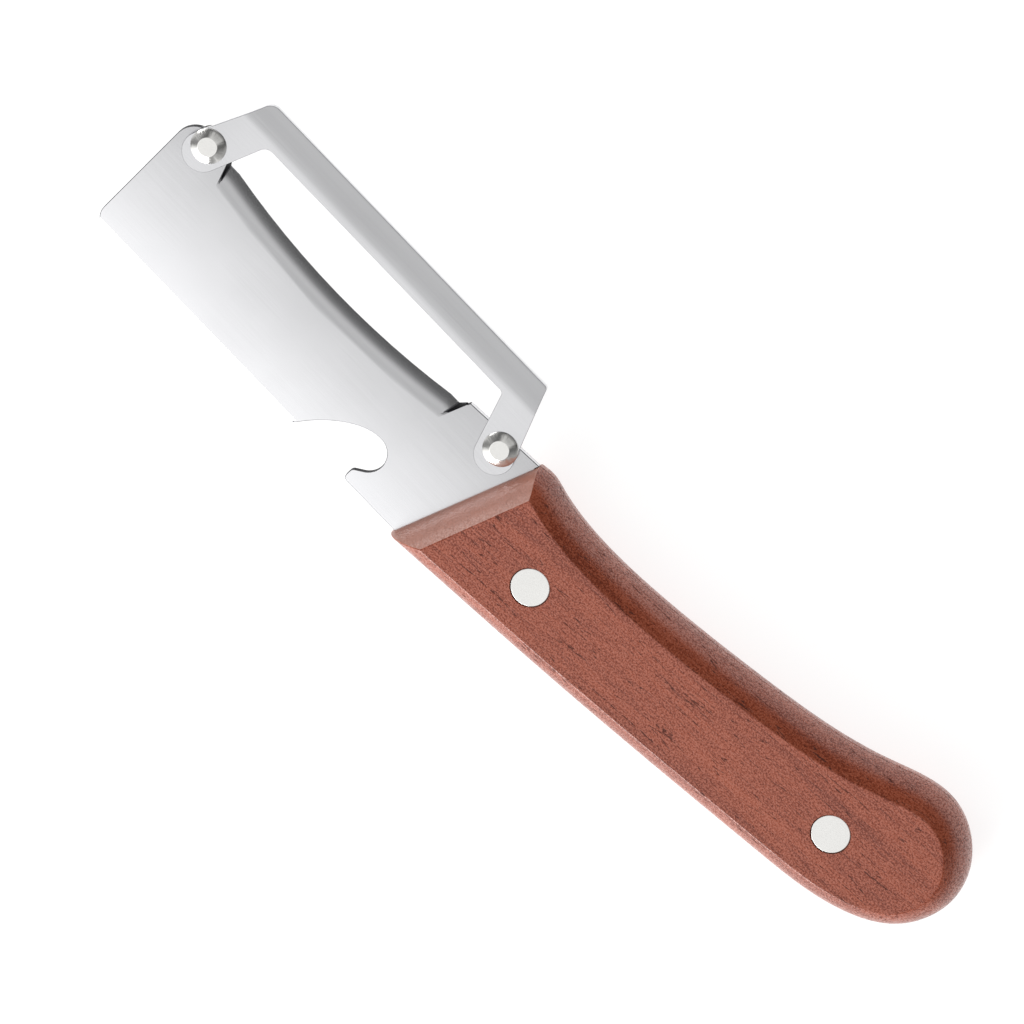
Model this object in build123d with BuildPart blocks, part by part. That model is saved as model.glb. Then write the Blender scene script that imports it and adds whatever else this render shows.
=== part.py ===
"""Fruit peeling knife: plate blade with a bent peeling edge, riveted guard, opener notch, wooden handle.

The knife lies on the lower flat of its handle. +X runs along the blade to its tip, +Y points to the
belly (cutting) edge and +Z is up. The origin is on the resting flat, midway between the handle rivets.
"""

from build123d import *
import math
import os

# ---- driving dimensions, in millimetres and degrees ----
# handle
handle_length = 148.6  # butt to the front belly corner, along X
grip_width = 34.0  # width of the grip, square to the rivet line
handle_thickness = 18.0
edge_inset = 4.9  # how far each flat stands in from the outline at mid-thickness
handle_slope = 7.2  # tilt of the rivet line against the blade
handle_front_lean = 17.4  # lean of the handle's front edge
front_rivet_setback = 30.0  # front belly corner to the front rivet, along X
rear_rivet_setback = 31.0  # butt to the rear rivet, along X
# blade plate
plate_thickness = 1.5
blade_reach = 99.6  # handle's front belly corner to the tip, along X
belly_level = 23.0  # Y of the cutting edge
blade_width = 35.2  # cutting edge to the back edge at the tip
back_step = 0.5  # back edge behind the peeling edge, against the one before it
tip_lean = 1.7
tip_belly_radius = 4.0
tip_back_radius = 5.6
grind_width = 1.3  # ground stripe along the cutting edge
grind_depth = 0.35  # taken off each face by the grind
# tang
shoulder_depth = 6.0  # full-width plate let into the handle
shoulder_margin = 1.3  # wood left outside the shoulder at the spine
tang_margin = 4.5  # wood left outside the tang
tang_tail = 9.0  # tang behind the rear rivet
tang_gap = 0.1  # clearance round the tang in its pocket
# peeling edge
scoop_setback = 48.4  # handle's front belly corner to the middle of the peeling edge, along X
scoop_span = 71.0  # length of the bend line
scoop_radius = 210.0  # plan radius of the bend line
scoop_level = -0.7  # Y of the bend line at mid-span
bend_radius = 7.6  # radius of the bent band at mid-thickness
bend_angle = 43.0
bevel_angle = 12.0  # part of the bend that is ground away under the edge
scoop_edge = 0.3  # thickness left at the peeling edge
scoop_end_lean = 14.0  # lean of each formed end where the band's full depth stops
scoop_wall_lean = 18.5  # lean of each formed end where it meets the flat plate
scoop_wall_reach = 7.8  # length of each formed end along its wall
scoop_corner_round = 0.4  # plate corner beside each formed end
scoop_end_step = 0.4  # run of each formed end along the bend line, per section
# bottle opener
opener_setback = 12.4  # handle's front belly corner to the hollow of the hook, along X
opener_mouth = 21.3  # hollow of the hook to the far end of the mouth
mouth_node = (0.52, 0.28)  # share of the mouth's run and rise that its curve passes through
mouth_way = (0.5, 0.86)  # direction in which the mouth's curve meets the cutting edge
opener_depth = 13.2
hook_radius = 4.75
hook_sweep = 130.0  # where the hook's hollow runs out into the tooth
tooth_reach = 4.2  # hollow of the hook to the tooth tip, along X
tooth_height = 3.0  # tooth tip below the cutting edge's line
tooth_round = 1.2
mouth_round = 2.4
# guard
guard_thickness = 1.2
guard_setback = 44.9  # handle's front belly corner to the guard's middle, along X
guard_rivet_spacing = 95.3
guard_rivet_level = -9.9
guard_outer_level = -27.9
guard_bar_width = 8.0
guard_outer_span = 89.2  # between the sharp outer corners
guard_inner_span = 76.8  # between the sharp inner corners
guard_eye_radius = 4.8
guard_eye_offset = 2.1  # eye centre beyond the rivet, towards the cutting edge
guard_outer_rounds = {-1: 1.0, 1: 3.0}  # towards the handle, towards the tip
guard_inner_rounds = {-1: 1.2, 1: 2.4}
guard_curl_radius = 18.0  # the bar's outer part curls down on this radius
guard_curl_start = 1.0  # flat strip beside the bar's inner edge
# guard rivets
guard_rivet_radius = 2.0
guard_rivet_gap = 0.05
guard_head_radius = 4.2
guard_head_flat_radius = 2.3
guard_head_height = 1.1
guard_head_rim = 0.2
# handle rivets
rivet_head_radius = 4.6
rivet_head_thickness = 1.6
rivet_recess = 0.15  # heads stand this far below the flats
rivet_head_gap = 0.15  # ring gap round a head
rivet_edge_round = 0.2
sleeve_radius = 2.5
sleeve_gap = 0.1  # clearance round the sleeve in wood and tang
pin_radius = 1.6
pin_gap = 0.01  # pin inside its sleeve
shank_end_gap = 0.5  # space left past the end of each shank

# ---- the handle outline at mid-thickness ----
# Each node is (share of the length from the butt, share of the grip width from the rivet line).
belly_front_node = (1.0, 0.435)
belly_nodes = ((0.64, 0.497), (0.26, 0.515), (0.1, 0.452), (0.028, 0.272))
butt_node = (0.0, -0.061)
spine_nodes = (
    (0.028, -0.4),
    (0.112, -0.643),
    (0.23, -0.563),
    (0.447, -0.444),
    (0.663, -0.434),
    (0.797, -0.494),
    (0.865, -0.578),
    (0.897, -0.622),
)
spine_front_share = -0.622
belly_way = Vector(-1, -0.084)  # direction of the belly where it starts at the front
spine_way = Vector(1, 0.12)  # direction of the spine where it ends at the front
butt_way = Vector(0, -1)
side_levels = (0.0, 0.24, 0.46, 0.65, 0.81, 0.92, 1.0)  # shares of the half thickness, one per section
samples = 26  # places where an inset outline is worked out along each long edge

# ---- derived places ----
mid = handle_thickness / 2
plate_top = mid + plate_thickness / 2
plate_bottom = mid - plate_thickness / 2
guard_top = plate_top + guard_thickness
rivet_spacing = handle_length - front_rivet_setback - rear_rivet_setback
front_x = rivet_spacing / 2 + front_rivet_setback
butt_x = front_x - handle_length
slope = math.tan(math.radians(handle_slope))
handle_rivet_points = {
    "front": (rivet_spacing / 2, rivet_spacing / 2 * slope),
    "rear": (-rivet_spacing / 2, -rivet_spacing / 2 * slope),
}
tip_x = front_x + blade_reach
back_level = belly_level - blade_width
side_radius = (mid**2 + edge_inset**2) / (2 * edge_inset)
guard_x = front_x + guard_setback
guard_rivet_points = {
    "front": (guard_x + guard_rivet_spacing / 2, guard_rivet_level),
    "rear": (guard_x - guard_rivet_spacing / 2, guard_rivet_level),
}
scoop_x = front_x + scoop_setback
hook_x = front_x + opener_setback


def outline_point(station: float, share: float) -> Vector:
    """The point of the handle outline at a station along the handle and a share of its width."""
    x = butt_x + station * handle_length
    return Vector(x, x * slope + share * grip_width)


front_way = Vector(1, 0).rotate(Axis.Z, 90 - handle_front_lean)
belly_corner = outline_point(*belly_front_node)
spine_drop = (belly_front_node[1] - spine_front_share) * grip_width
spine_corner = belly_corner - front_way * (spine_drop / (front_way.Y - front_way.X * slope))
butt_point = outline_point(*butt_node)

with BuildLine() as belly_curve:
    Spline(
        belly_corner,
        *[outline_point(*node) for node in belly_nodes],
        butt_point,
        tangents=(belly_way, butt_way),
        tangent_scalars=(1, 1),
    )

with BuildLine() as spine_curve:
    Spline(
        butt_point,
        *[outline_point(*node) for node in spine_nodes],
        spine_corner,
        tangents=(butt_way, spine_way),
        tangent_scalars=(1, 1),
    )


def inward(way: Vector) -> Vector:
    """The inward normal beside an edge that runs anticlockwise in the given direction."""
    return Vector(-way.Y, way.X).normalized()


def mitre(corner: Vector, first: Vector, second: Vector, inset: float) -> Vector:
    """The corner of an inset outline between two edges that run in the given directions."""
    sides = (inward(first), inward(second))
    return corner + (sides[0] + sides[1]) * (inset / (1 + sides[0].dot(sides[1])))


def inset_points(edge: Edge, inset: float, limit: float) -> list[Vector]:
    """Points along a long edge of the handle, moved in from it, as far forward as limit."""
    shares = [step / samples for step in range(1, samples)]
    points = [edge @ share + inward(edge % share) * inset for share in shares]
    return [point for point in points if point.X < limit]


def rim(inset: float, level: float) -> Sketch:
    """The handle outline, moved in by inset, as a face at the given level."""
    belly_end = mitre(belly_corner, front_way, belly_way, inset)
    spine_end = mitre(spine_corner, spine_way, front_way, inset)
    butt_end = butt_point - inward(butt_way) * -inset
    belly_points = inset_points(belly_curve.edge(), inset, belly_end.X - edge_inset)
    spine_points = inset_points(spine_curve.edge(), inset, spine_end.X - edge_inset / 2)
    with BuildSketch(Plane.XY.offset(level)) as face:
        with BuildLine():
            Spline(belly_end, *belly_points, butt_end, tangents=(belly_way, butt_way), tangent_scalars=(1, 1))
            Spline(butt_end, *spine_points, spine_end, tangents=(butt_way, spine_way), tangent_scalars=(1, 1))
            Line(spine_end, belly_end)
        make_face()
    return face.sketch


def side_inset(share: float) -> float:
    """How far the round side of the handle stands in at a share of the half thickness."""
    return side_radius - math.sqrt(side_radius**2 - (share * mid) ** 2)


# ---- plan of the tang, and of its pocket in the wood ----
tail_x = handle_rivet_points["rear"][0] - tang_tail


def tang_plan(gap: float) -> Sketch:
    """The tang, grown all round by gap."""
    with BuildSketch() as plan:
        add(rim(tang_margin - gap, 0))
        with Locations((tail_x - gap, 0)):
            Rectangle(2 * handle_length, 3 * grip_width, align=(Align.MIN, Align.CENTER), mode=Mode.INTERSECT)
    return plan.sketch


# ---- plan of the plate in front of the handle ----
scoop_rear = scoop_x - scoop_span / 2
scoop_front = scoop_x + scoop_span / 2
hook_centre = Vector(hook_x + hook_radius, belly_level - opener_depth + hook_radius)
hook_bottom = hook_centre - Vector(0, hook_radius)
tooth_root = hook_centre + Vector(hook_radius, 0).rotate(Axis.Z, hook_sweep)
tooth_tip = Vector(hook_x + tooth_reach, belly_level - tooth_height)
mouth_corner = Vector(hook_x + opener_mouth, belly_level)
mouth_run = mouth_corner - hook_bottom
tip_belly_corner = Vector(tip_x - blade_width * math.tan(math.radians(tip_lean)), belly_level)
tip_back_corner = Vector(tip_x, back_level)


def on_front_edge(level: float) -> Vector:
    """The point of the handle's front edge at a level Y."""
    return belly_corner + front_way * ((level - belly_corner.Y) / front_way.Y)


def shoulder_plan(gap: float) -> Sketch:
    """The wide strip of plate let into the handle's front, grown by gap."""
    shift = Vector(-shoulder_depth - gap, 0)
    belly_end = on_front_edge(belly_level + gap)
    spine_end = spine_corner + front_way * (shoulder_margin - gap)
    with BuildSketch() as plan:
        with BuildLine():
            Polyline(belly_end, belly_end + shift, spine_end + shift, spine_end, close=True)
        make_face()
    return plan.sketch


# ---- peeling edge: a band bent down along an arc in the plan ----
scoop_pole = Vector(scoop_x, scoop_level - scoop_radius)
scoop_half_angle = math.degrees(math.asin(scoop_span / 2 / scoop_radius))


def bend_point(angle: float) -> Vector:
    """The point of the bend line at an angle from mid-span, positive towards the tip."""
    return scoop_pole + Vector(0, scoop_radius).rotate(Axis.Z, -angle)


def upright(start: Vector, lean: float) -> Plane:
    """An upright plane whose x runs from start towards the guard, leaning towards the tip."""
    way = Vector(0, -1, 0).rotate(Axis.Z, lean)
    return Plane(origin=(start.X, start.Y, mid), x_dir=way, z_dir=way.cross(Vector(0, 0, 1)))


def on_bend(radius: float, angle: float) -> Vector:
    """A point of the band's section at a radius and angle round the bend."""
    turn = math.radians(angle)
    return Vector(radius * math.sin(turn), radius * math.cos(turn) - bend_radius)


def band_section(plane: Plane) -> Sketch:
    """The bent band cut across: full thickness at the bend, ground thin at the peeling edge."""
    outer = bend_radius + plate_thickness / 2
    inner = bend_radius - plate_thickness / 2
    with BuildSketch(plane) as section:
        with BuildLine():
            ThreePointArc(on_bend(outer, 0), on_bend(outer, bend_angle / 2), on_bend(outer, bend_angle))
            Line(on_bend(outer, bend_angle), on_bend(outer - scoop_edge, bend_angle))
            Line(on_bend(outer - scoop_edge, bend_angle), on_bend(inner, bend_angle - bevel_angle))
            ThreePointArc(
                on_bend(inner, bend_angle - bevel_angle),
                on_bend(inner, (bend_angle - bevel_angle) / 2),
                on_bend(inner, 0),
            )
            Line(on_bend(inner, 0), on_bend(outer, 0))
        make_face()
    return section.sketch


def flat_section(plane: Plane, length: float) -> Sketch:
    """The plate cut across where the formed end has come back to the flat."""
    half = plate_thickness / 2
    with BuildSketch(plane) as section:
        with BuildLine():
            Polyline(
                (0, half),
                (length, half),
                (length, half - plate_thickness + scoop_edge),
                (length - scoop_edge, -half),
                (0, -half),
                close=True,
            )
        make_face()
    return section.sketch


def formed_end(side: int, level: float) -> tuple[list[Sketch], list[Vector], Vector]:
    """Sections of a formed end, the corners of its cut-out, and the plate's back corner beside it.

    side is 1 at the tip and -1 at the handle, and level is the Y of the back edge there.
    """
    angle = side * scoop_half_angle
    first = bend_point(angle)
    along = Vector(side, 0).rotate(Axis.Z, -angle) * scoop_end_step
    second = first + along
    third = second + along
    wall_plane = upright(third, side * scoop_wall_lean)
    wall_length = (third.Y - level) / math.cos(math.radians(scoop_wall_lean))
    sections = [
        band_section(upright(first, -angle)),
        band_section(upright(second, side * scoop_end_lean)),
        flat_section(wall_plane, scoop_wall_reach),
    ]
    back_corner = third + wall_plane.x_dir * wall_length
    beyond = back_corner + wall_plane.x_dir * wall_length
    return sections, [first, second, third, beyond], back_corner


rear_end, rear_corners, rear_back_corner = formed_end(-1, back_level + back_step)
front_end, front_corners, front_back_corner = formed_end(1, back_level)

with BuildSketch(Plane.XY.offset(plate_bottom)) as scoop_window:
    with BuildLine():
        Polyline(*front_corners[::-1])
        ThreePointArc(front_corners[0], bend_point(0), rear_corners[0])
        Polyline(*rear_corners)
        Line(rear_corners[-1], front_corners[-1])
    make_face()

with BuildSketch(Plane.XY.offset(plate_bottom)) as opener:
    with BuildLine():
        Line((tooth_tip.X, belly_level + opener_depth), tooth_tip)
        Line(tooth_tip, tooth_root)
        ThreePointArc(tooth_root, hook_centre - Vector(hook_radius, 0), hook_bottom)
        Spline(
            hook_bottom,
            hook_bottom + Vector(mouth_run.X * mouth_node[0], mouth_run.Y * mouth_node[1]),
            mouth_corner,
            tangents=((1, 0), mouth_way),
            tangent_scalars=(1, 1),
        )
        Line(mouth_corner, (mouth_corner.X, belly_level + opener_depth))
        Line((mouth_corner.X, belly_level + opener_depth), (tooth_tip.X, belly_level + opener_depth))
    make_face()

with BuildPart() as blade:
    with BuildSketch(Plane.XY.offset(plate_bottom)) as plate:
        with BuildLine():
            Polyline(
                on_front_edge(belly_level),
                tip_belly_corner,
                tip_back_corner,
                (scoop_front, back_level),
                (scoop_rear, back_level + back_step),
                spine_corner,
                close=True,
            )
        make_face()
        fillet(plate.vertices().sort_by_distance(tip_belly_corner)[0], tip_belly_radius)
        fillet(plate.vertices().sort_by_distance(tip_back_corner)[0], tip_back_radius)
        add(shoulder_plan(0))
        add(tang_plan(0))
        add(opener.sketch, mode=Mode.SUBTRACT)
        add(scoop_window.sketch, mode=Mode.SUBTRACT)
        fillet(plate.vertices().sort_by_distance(rear_back_corner)[0], scoop_corner_round)
        fillet(plate.vertices().sort_by_distance(front_back_corner)[0], scoop_corner_round)
        fillet(plate.vertices().sort_by_distance(mouth_corner)[0], mouth_round)
        fillet(plate.vertices().sort_by_distance((tooth_tip.X, belly_level))[0], tooth_round)
        fillet(plate.vertices().sort_by_distance(tooth_tip)[0], tooth_round)
    extrude(amount=plate_thickness)
    revolve(
        band_section(upright(rear_corners[0], scoop_half_angle)),
        axis=Axis((scoop_pole.X, scoop_pole.Y, 0), (0, 0, 1)),
        revolution_arc=-2 * scoop_half_angle,
    )
    loft(sections=rear_end, ruled=True)
    loft(sections=front_end, ruled=True)
    with Locations((*handle_rivet_points["front"], mid), (*handle_rivet_points["rear"], mid)):
        Cylinder(sleeve_radius + sleeve_gap, 2 * plate_thickness, mode=Mode.SUBTRACT)
    with Locations((*guard_rivet_points["front"], mid), (*guard_rivet_points["rear"], mid)):
        Cylinder(guard_rivet_radius + guard_rivet_gap, 2 * plate_thickness, mode=Mode.SUBTRACT)
    for face_level, side in ((plate_top, 1), (plate_bottom, -1)):
        with BuildSketch(Plane.YZ.offset(mouth_corner.X)) as grind:
            with BuildLine():
                Polyline(
                    (belly_level, face_level),
                    (belly_level, face_level - side * grind_depth),
                    (belly_level - grind_width, face_level),
                    close=True,
                )
            make_face()
        extrude(amount=blade_reach, mode=Mode.SUBTRACT)

# ---- guard: a bar on two legs, riveted on the plate, its outer part curled down ----
guard_plan_inner = guard_outer_level + guard_bar_width


def leg(side: int) -> Sketch:
    """The plan of one leg: an eye drawn out to the end of the bar."""
    eye = Vector(guard_x + side * guard_rivet_spacing / 2, guard_rivet_level + guard_eye_offset)
    outer = Vector(guard_x + side * guard_outer_span / 2, guard_outer_level)
    inner = Vector(guard_x + side * guard_inner_span / 2, guard_plan_inner)
    with BuildSketch() as plan:
        with Locations(eye):
            Circle(guard_eye_radius)
        make_hull(edges=[*plan.sketch.edges(), Edge.make_line(inner, outer)])
    return plan.sketch


with BuildSketch(Plane.XY.offset(plate_bottom)) as guard_plan:
    with BuildLine():
        Polyline(
            (guard_x - guard_outer_span / 2, guard_outer_level),
            (guard_x + guard_outer_span / 2, guard_outer_level),
            (guard_x + guard_inner_span / 2, guard_plan_inner),
            (guard_x - guard_inner_span / 2, guard_plan_inner),
            close=True,
        )
    make_face()
    add(leg(-1))
    add(leg(1))
    for side in (-1, 1):
        outer_corner = Vector(guard_x + side * guard_outer_span / 2, guard_outer_level, plate_bottom)
        inner_corner = Vector(guard_x + side * guard_inner_span / 2, guard_plan_inner, plate_bottom)
        fillet(guard_plan.vertices().sort_by_distance(outer_corner)[0], guard_outer_rounds[side])
        fillet(guard_plan.vertices().sort_by_distance(inner_corner)[0], guard_inner_rounds[side])

curl_reach = guard_bar_width + guard_curl_start + guard_thickness
curl_angle = math.degrees(math.asin(curl_reach / guard_curl_radius))


def on_curl(radius: float, angle: float) -> Vector:
    """A point of the guard's side view at a radius and angle round its curl."""
    turn = math.radians(angle)
    curl_y = guard_plan_inner - guard_curl_start
    return Vector(curl_y - radius * math.sin(turn), plate_top - guard_curl_radius + radius * math.cos(turn))


with BuildPart() as peeler_guard:
    with BuildSketch(Plane.YZ.offset(guard_x - guard_rivet_spacing)):
        upper = guard_curl_radius + guard_thickness
        with BuildLine():
            ThreePointArc(on_curl(upper, 0), on_curl(upper, curl_angle / 2), on_curl(upper, curl_angle))
            Line(on_curl(upper, curl_angle), on_curl(guard_curl_radius, curl_angle))
            ThreePointArc(
                on_curl(guard_curl_radius, curl_angle),
                on_curl(guard_curl_radius, curl_angle / 2),
                on_curl(guard_curl_radius, 0),
            )
            Polyline(on_curl(guard_curl_radius, 0), (0, plate_top), (0, guard_top), on_curl(upper, 0))
        make_face()
    extrude(amount=2 * guard_rivet_spacing)
    extrude(guard_plan.sketch, amount=handle_thickness, both=True, mode=Mode.INTERSECT)
    with Locations((*guard_rivet_points["front"], plate_top), (*guard_rivet_points["rear"], plate_top)):
        Cylinder(guard_rivet_radius + guard_rivet_gap, 4 * guard_thickness, mode=Mode.SUBTRACT)


def guard_rivet(place: tuple[float, float]) -> Part:
    """A solid rivet through guard and plate: a low cone with a flat top above, the same below."""
    with BuildPart() as rivet:
        with BuildSketch(Plane.XZ):
            with BuildLine():
                Polyline(
                    (0, plate_bottom - guard_head_height),
                    (guard_head_flat_radius, plate_bottom - guard_head_height),
                    (guard_head_radius, plate_bottom - guard_head_rim),
                    (guard_head_radius, plate_bottom),
                    (guard_rivet_radius, plate_bottom),
                    (guard_rivet_radius, guard_top),
                    (guard_head_radius, guard_top),
                    (guard_head_radius, guard_top + guard_head_rim),
                    (guard_head_flat_radius, guard_top + guard_head_height),
                    (0, guard_top + guard_head_height),
                    close=True,
                )
            make_face()
        revolve(axis=Axis.Z)
    return rivet.part.moved(Location((*place, 0)))


# ---- handle rivets: a sleeve from above and a pin from below ----
head_base = handle_thickness - rivet_recess - rivet_head_thickness
pin_head_top = rivet_recess + rivet_head_thickness
pin_length = head_base - pin_head_top - shank_end_gap


def rivet_sleeve(place: tuple[float, float]) -> Part:
    """The upper half of a handle rivet: a round head on a tube."""
    with BuildPart() as sleeve:
        with Locations((0, 0, head_base)):
            Cylinder(rivet_head_radius, rivet_head_thickness, align=(Align.CENTER, Align.CENTER, Align.MIN))
        fillet(sleeve.edges().sort_by(Axis.Z)[-1], rivet_edge_round)
        with Locations((0, 0, pin_head_top + shank_end_gap)):
            Cylinder(sleeve_radius, pin_length, align=(Align.CENTER, Align.CENTER, Align.MIN))
            Cylinder(
                pin_radius + pin_gap,
                pin_length,
                align=(Align.CENTER, Align.CENTER, Align.MIN),
                mode=Mode.SUBTRACT,
            )
    return sleeve.part.moved(Location((*place, 0)))


def rivet_pin(place: tuple[float, float]) -> Part:
    """The lower half of a handle rivet: a round head on a pin that fills the tube."""
    with BuildPart() as pin:
        with Locations((0, 0, rivet_recess)):
            Cylinder(rivet_head_radius, rivet_head_thickness, align=(Align.CENTER, Align.CENTER, Align.MIN))
        fillet(pin.edges().sort_by(Axis.Z)[0], rivet_edge_round)
        with Locations((0, 0, pin_head_top)):
            Cylinder(pin_radius, pin_length, align=(Align.CENTER, Align.CENTER, Align.MIN))
    return pin.part.moved(Location((*place, 0)))


# ---- handle scales ----
def handle_scale(side: int) -> Part:
    """One wooden scale, from the middle out to its flat; side is 1 above and -1 below."""
    levels = [(side_inset(share), mid + side * share * mid) for share in side_levels]
    sections = [rim(inset, level) for inset, level in levels]
    with BuildPart() as scale:
        loft(sections=sections, ruled=True)
        with BuildSketch(Plane.XY.offset(mid)):
            add(shoulder_plan(tang_gap))
            add(tang_plan(tang_gap))
        extrude(amount=side * plate_thickness / 2, mode=Mode.SUBTRACT)
        outer_level = mid + side * mid
        for place in handle_rivet_points.values():
            with Locations((*place, mid)):
                Cylinder(sleeve_radius + sleeve_gap, 2 * handle_thickness, mode=Mode.SUBTRACT)
            with Locations((*place, outer_level)):
                Cylinder(
                    rivet_head_radius + rivet_head_gap,
                    2 * (rivet_recess + rivet_head_thickness),
                    mode=Mode.SUBTRACT,
                )
    return scale.part


with BuildPart() as handle_scale_upper:
    add(handle_scale(1))
with BuildPart() as handle_scale_lower:
    add(handle_scale(-1))
with BuildPart() as guard_rivet_front:
    add(guard_rivet(guard_rivet_points["front"]))
with BuildPart() as guard_rivet_rear:
    add(guard_rivet(guard_rivet_points["rear"]))
with BuildPart() as handle_rivet_front_sleeve:
    add(rivet_sleeve(handle_rivet_points["front"]))
with BuildPart() as handle_rivet_rear_sleeve:
    add(rivet_sleeve(handle_rivet_points["rear"]))
with BuildPart() as handle_rivet_front_pin:
    add(rivet_pin(handle_rivet_points["front"]))
with BuildPart() as handle_rivet_rear_pin:
    add(rivet_pin(handle_rivet_points["rear"]))

blade.part.label = "blade"
peeler_guard.part.label = "peeler_guard"
guard_rivet_front.part.label = "guard_rivet_front"
guard_rivet_rear.part.label = "guard_rivet_rear"
handle_scale_upper.part.label = "handle_scale_upper"
handle_scale_lower.part.label = "handle_scale_lower"
handle_rivet_front_sleeve.part.label = "handle_rivet_front_sleeve"
handle_rivet_rear_sleeve.part.label = "handle_rivet_rear_sleeve"
handle_rivet_front_pin.part.label = "handle_rivet_front_pin"
handle_rivet_rear_pin.part.label = "handle_rivet_rear_pin"

os.makedirs("parts", exist_ok=True)
export_step(blade.part, "parts/blade.step")
export_step(peeler_guard.part, "parts/peeler_guard.step")
export_step(guard_rivet_front.part, "parts/guard_rivet_front.step")
export_step(guard_rivet_rear.part, "parts/guard_rivet_rear.step")
export_step(handle_scale_upper.part, "parts/handle_scale_upper.step")
export_step(handle_scale_lower.part, "parts/handle_scale_lower.step")
export_step(handle_rivet_front_sleeve.part, "parts/handle_rivet_front_sleeve.step")
export_step(handle_rivet_rear_sleeve.part, "parts/handle_rivet_rear_sleeve.step")
export_step(handle_rivet_front_pin.part, "parts/handle_rivet_front_pin.step")
export_step(handle_rivet_rear_pin.part, "parts/handle_rivet_rear_pin.step")
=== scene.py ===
"""Looks of a fruit peeling knife: steel plate with a bent peeling edge, riveted guard, wooden handle.

The frame is the CAD model's: metres, +X to the blade's tip, +Y to the cutting edge, +Z up, the origin
on the flat the knife lies on, midway between the handle rivets. Sizes in the classes are millimetres.
"""

import logging
import math
from dataclasses import dataclass, field
from enum import Enum

import bmesh
import bpy
import numpy as np
from mathutils import Matrix, Vector


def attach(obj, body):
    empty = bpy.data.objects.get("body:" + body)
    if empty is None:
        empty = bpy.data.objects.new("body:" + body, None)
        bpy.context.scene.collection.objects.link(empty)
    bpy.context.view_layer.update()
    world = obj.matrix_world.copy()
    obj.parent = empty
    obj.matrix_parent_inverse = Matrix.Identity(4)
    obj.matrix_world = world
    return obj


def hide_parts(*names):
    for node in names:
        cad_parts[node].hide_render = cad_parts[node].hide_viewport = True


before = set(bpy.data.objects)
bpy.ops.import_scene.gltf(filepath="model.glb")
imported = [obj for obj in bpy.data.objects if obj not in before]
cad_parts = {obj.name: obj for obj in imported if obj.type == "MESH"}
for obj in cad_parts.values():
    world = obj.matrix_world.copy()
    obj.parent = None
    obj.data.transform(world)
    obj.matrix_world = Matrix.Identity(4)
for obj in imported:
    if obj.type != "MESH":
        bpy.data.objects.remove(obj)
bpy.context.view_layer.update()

log = logging.getLogger("peeling_knife")
MM = 0.001
CAD_MERGE = 0.002  # millimetres within which the CAD mesh's loose points are one
CAD_FLAT = 0.3  # degrees under which neighbouring CAD triangles are one flat face
LARGE_FACE_WEIGHT = 50  # per cent, of the faces' sizes in the normals
SPAN_POINTS = 60  # points of a smooth curve between two of its knots


# ---------------------------------------------------------------- helpers


def linear(hex_colour: str) -> tuple[float, float, float, float]:
    """Turns an sRGB hex colour into linear light.

    Args:
        hex_colour: six hex digits, such as "8a5040".

    Returns:
        Red, green, blue and alpha for a node socket.
    """
    shades = [int(hex_colour[i : i + 2], 16) / 255 for i in (0, 2, 4)]
    steps = [c / 12.92 if c <= 0.04045 else ((c + 0.055) / 1.055) ** 2.4 for c in shades]
    return (steps[0], steps[1], steps[2], 1.0)


def add_node(tree: bpy.types.NodeTree, kind: str, settings: dict, links: dict) -> bpy.types.Node:
    """Adds one node.

    Args:
        tree: the node tree.
        kind: the node's type name.
        settings: attributes of the node by name.
        links: input sockets by name or number, each given a value or another node's output.

    Returns:
        The new node.
    """
    node = tree.nodes.new(kind)
    for name, value in settings.items():
        setattr(node, name, value)
    for name, value in links.items():
        socket = node.inputs[name]
        if isinstance(value, bpy.types.NodeSocket):
            tree.links.new(value, socket)
        else:
            socket.default_value = value
    return node


def new_material(name: str) -> tuple[bpy.types.Material, bpy.types.NodeTree]:
    """Makes an empty node material.

    Args:
        name: what the surface is made of.

    Returns:
        The material and its node tree.
    """
    material = bpy.data.materials.new(name)
    material.use_nodes = True
    material.node_tree.nodes.clear()
    return material, material.node_tree


def close_material(tree: bpy.types.NodeTree, shader: bpy.types.Node) -> None:
    """Links a shader to the material's output.

    Args:
        tree: the material's node tree.
        shader: the node whose first output is the surface.
    """
    add_node(tree, "ShaderNodeOutputMaterial", {}, {"Surface": shader.outputs[0]})


def ramp(tree: bpy.types.NodeTree, source: bpy.types.NodeSocket, stops: list) -> bpy.types.NodeSocket:
    """Adds a colour ramp.

    Args:
        tree: the node tree.
        source: the value that drives the ramp.
        stops: (place, colour) from low to high.

    Returns:
        The ramp's colour.
    """
    node = add_node(tree, "ShaderNodeValToRGB", {}, {"Fac": source})
    marks = node.color_ramp.elements
    while len(marks) < len(stops):
        marks.new(1.0)
    for mark, (place, colour) in zip(marks, stops):
        mark.position = place
        mark.color = colour
    return node.outputs["Color"]


def grey(value: float) -> tuple[float, float, float, float]:
    """A grey of that linear value, for a ramp."""
    return (value, value, value, 1.0)


def mesh_object(name: str, points: np.ndarray, faces: list) -> bpy.types.Object:
    """Makes an object from millimetre points and faces.

    Args:
        name: the object's name.
        points: one row of x, y, z in millimetres for each point.
        faces: lists of point numbers.

    Returns:
        The object, linked to the scene, at the origin.
    """
    mesh = bpy.data.meshes.new(name)
    mesh.from_pydata((points * MM).tolist(), [], faces)
    mesh.validate()
    thing = bpy.data.objects.new(name, mesh)
    bpy.context.scene.collection.objects.link(thing)
    return thing


def face_outwards(thing: bpy.types.Object, merge: float) -> None:
    """Merges doubles and turns every face outwards.

    Args:
        thing: a closed shell.
        merge: distance in millimetres within which points are merged.
    """
    work = bmesh.new()
    work.from_mesh(thing.data)
    bmesh.ops.remove_doubles(work, verts=work.verts, dist=merge * MM)
    bmesh.ops.recalc_face_normals(work, faces=work.faces)
    work.to_mesh(thing.data)
    work.free()


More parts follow.
